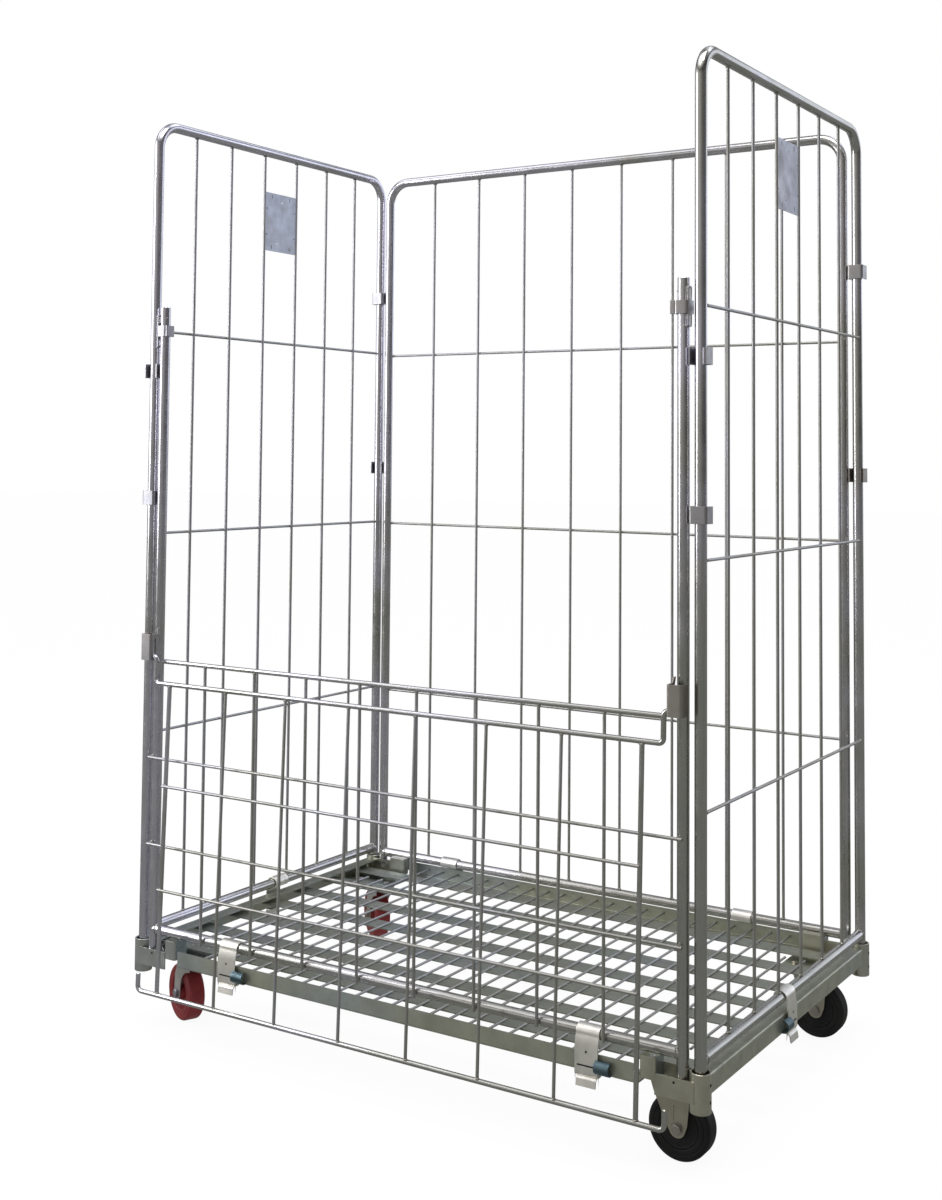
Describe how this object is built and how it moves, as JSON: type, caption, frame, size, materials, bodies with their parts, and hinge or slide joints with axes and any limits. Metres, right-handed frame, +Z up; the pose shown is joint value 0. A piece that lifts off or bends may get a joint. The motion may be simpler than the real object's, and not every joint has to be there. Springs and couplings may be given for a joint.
{
  "type": "roll cage container",
  "caption": "Wheeled zinc-plated cage trolley: wire-mesh side and back panels, a half-height front gate with a fold-down leaf, and an open slatted deck on castors.",
  "frame": {"origin": "on the floor, under the middle of the whole cage with its front leaf folded down", "axes": "+Z up, -Y is the front (gate and leaf), +X is the right-hand side seen from the front"},
  "size_m": [1.2264, 0.8665, 1.8],
  "materials": {
    "bright_tube": "bright zinc-plated tube",
    "bright_wire": "bright zinc-plated wire",
    "base_zinc": "matt grey-green zinc",
    "label_zinc": "matt blue-grey zinc sheet",
    "pressed_steel": "zinc-plated pressed sheet",
    "black_tread": "matt black",
    "black_hub": "black moulded",
    "red_tread": "dark red moulded",
    "red_hub": "dark red moulded"
  },
  "bodies": {
    "cage": {"axle_back_right": "pressed_steel", "axle_front_right": "pressed_steel", "back_frame": "bright_tube", "back_grid": "bright_wire", "base_frame": "base_zinc", "bracket_back_left": "base_zinc", "bracket_back_right": "base_zinc", "bracket_front_left": "base_zinc", "bracket_front_right": "base_zinc", "clip_back_left_lower": "pressed_steel", "clip_back_left_upper": "pressed_steel", "clip_back_right_lower": "pressed_steel", "clip_back_right_upper": "pressed_steel", "clip_front_left_lower": "pressed_steel", "clip_front_left_upper": "pressed_steel", "clip_front_right_lower": "pressed_steel", "clip_front_right_upper": "pressed_steel", "deck_grid": "base_zinc", "fork_back_right": "pressed_steel", "fork_front_right": "pressed_steel", "gate_frame": "bright_tube", "gate_grid": "bright_wire", "gate_top_rod": "bright_tube", "keeper_left": "pressed_steel", "keeper_right": "pressed_steel", "left_frame": "bright_tube", "left_grid": "bright_wire", "left_label_plate": "label_zinc", "pivot_bracket_left": "pressed_steel", "pivot_bracket_right": "pressed_steel", "right_frame": "bright_tube", "right_grid": "bright_wire", "right_label_plate": "label_zinc", "swivel_head_back_left": "pressed_steel", "swivel_head_front_left": "pressed_steel"},
    "leaf": {"leaf_frame": "bright_tube", "leaf_grid": "bright_wire", "leaf_wire_1": "bright_wire", "leaf_wire_2": "bright_wire", "leaf_wire_5": "bright_wire", "leaf_wire_6": "bright_wire"},
    "swivel_front_left": {"fork_front_left": "pressed_steel", "axle_front_left": "pressed_steel"},
    "wheel_front_left": {"tyre_front_left": "red_tread", "hub_front_left": "red_hub"},
    "wheel_front_right": {"tyre_front_right": "black_tread", "hub_front_right": "black_hub"},
    "swivel_back_left": {"fork_back_left": "pressed_steel", "axle_back_left": "pressed_steel"},
    "wheel_back_left": {"tyre_back_left": "red_tread", "hub_back_left": "red_hub"},
    "wheel_back_right": {"tyre_back_right": "black_tread", "hub_back_right": "black_hub"},
    "latch_front_left": {"latch_front_left": "pressed_steel"},
    "latch_front_right": {"latch_front_right": "pressed_steel"},
    "latch_back_left": {"latch_back_left": "pressed_steel"},
    "latch_back_right": {"latch_back_right": "pressed_steel"},
    "latch_right": {"latch_right": "pressed_steel"},
    "latch_left": {"latch_left": "pressed_steel"}
  },
  "joints": [
    {"name": "leaf_fold", "type": "hinge", "parent": "cage", "child": "leaf", "pos_m": [0, -0.40627, 0.727], "axis": [-1, 0, 0], "range_deg": [0, 178]},
    {"name": "swivel_front_left", "type": "hinge", "parent": "cage", "child": "swivel_front_left", "pos_m": [-0.52, -0.30677, 0.124], "axis": [0, 0, 1], "continuous": true},
    {"name": "spin_front_left", "type": "hinge", "parent": "swivel_front_left", "child": "wheel_front_left", "pos_m": [-0.54741, -0.29457, 0.054], "axis": [0.4067, 0.9135, 0], "continuous": true},
    {"name": "spin_front_right", "type": "hinge", "parent": "cage", "child": "wheel_front_right", "pos_m": [0.529, -0.30677, 0.054], "axis": [0, 1, 0], "continuous": true},
    {"name": "swivel_back_left", "type": "hinge", "parent": "cage", "child": "swivel_back_left", "pos_m": [-0.52, 0.33723, 0.124], "axis": [0, 0, 1], "continuous": true},
    {"name": "spin_back_left", "type": "hinge", "parent": "swivel_back_left", "child": "wheel_back_left", "pos_m": [-0.54383, 0.35545, 0.054], "axis": [0.6074, 0.7944, 0], "continuous": true},
    {"name": "spin_back_right", "type": "hinge", "parent": "cage", "child": "wheel_back_right", "pos_m": [0.529, 0.33723, 0.054], "axis": [0, 1, 0], "continuous": true},
    {"name": "latch_front_left_swing", "type": "hinge", "parent": "cage", "child": "latch_front_left", "pos_m": [-0.365, -0.37777, 0.1945], "axis": [-1, 0, 0], "range_deg": [0, 16]},
    {"name": "latch_front_right_swing", "type": "hinge", "parent": "cage", "child": "latch_front_right", "pos_m": [0.395, -0.37777, 0.1945], "axis": [-1, 0, 0], "range_deg": [0, 95]},
    {"name": "latch_back_left_swing", "type": "hinge", "parent": "cage", "child": "latch_back_left", "pos_m": [-0.365, 0.40323, 0.182], "axis": [1, 0, 0], "range_deg": [0, 95]},
    {"name": "latch_back_right_swing", "type": "hinge", "parent": "cage", "child": "latch_back_right", "pos_m": [0.35, 0.40323, 0.182], "axis": [1, 0, 0], "range_deg": [0, 95]},
    {"name": "latch_right_swing", "type": "hinge", "parent": "cage", "child": "latch_right", "pos_m": [0.59, -0.00727, 0.188], "axis": [0, -1, 0], "range_deg": [0, 95]},
    {"name": "latch_left_swing", "type": "hinge", "parent": "cage", "child": "latch_left", "pos_m": [-0.59, 0.04723, 0.188], "axis": [0, 1, 0], "range_deg": [0, 95]}
  ]
}
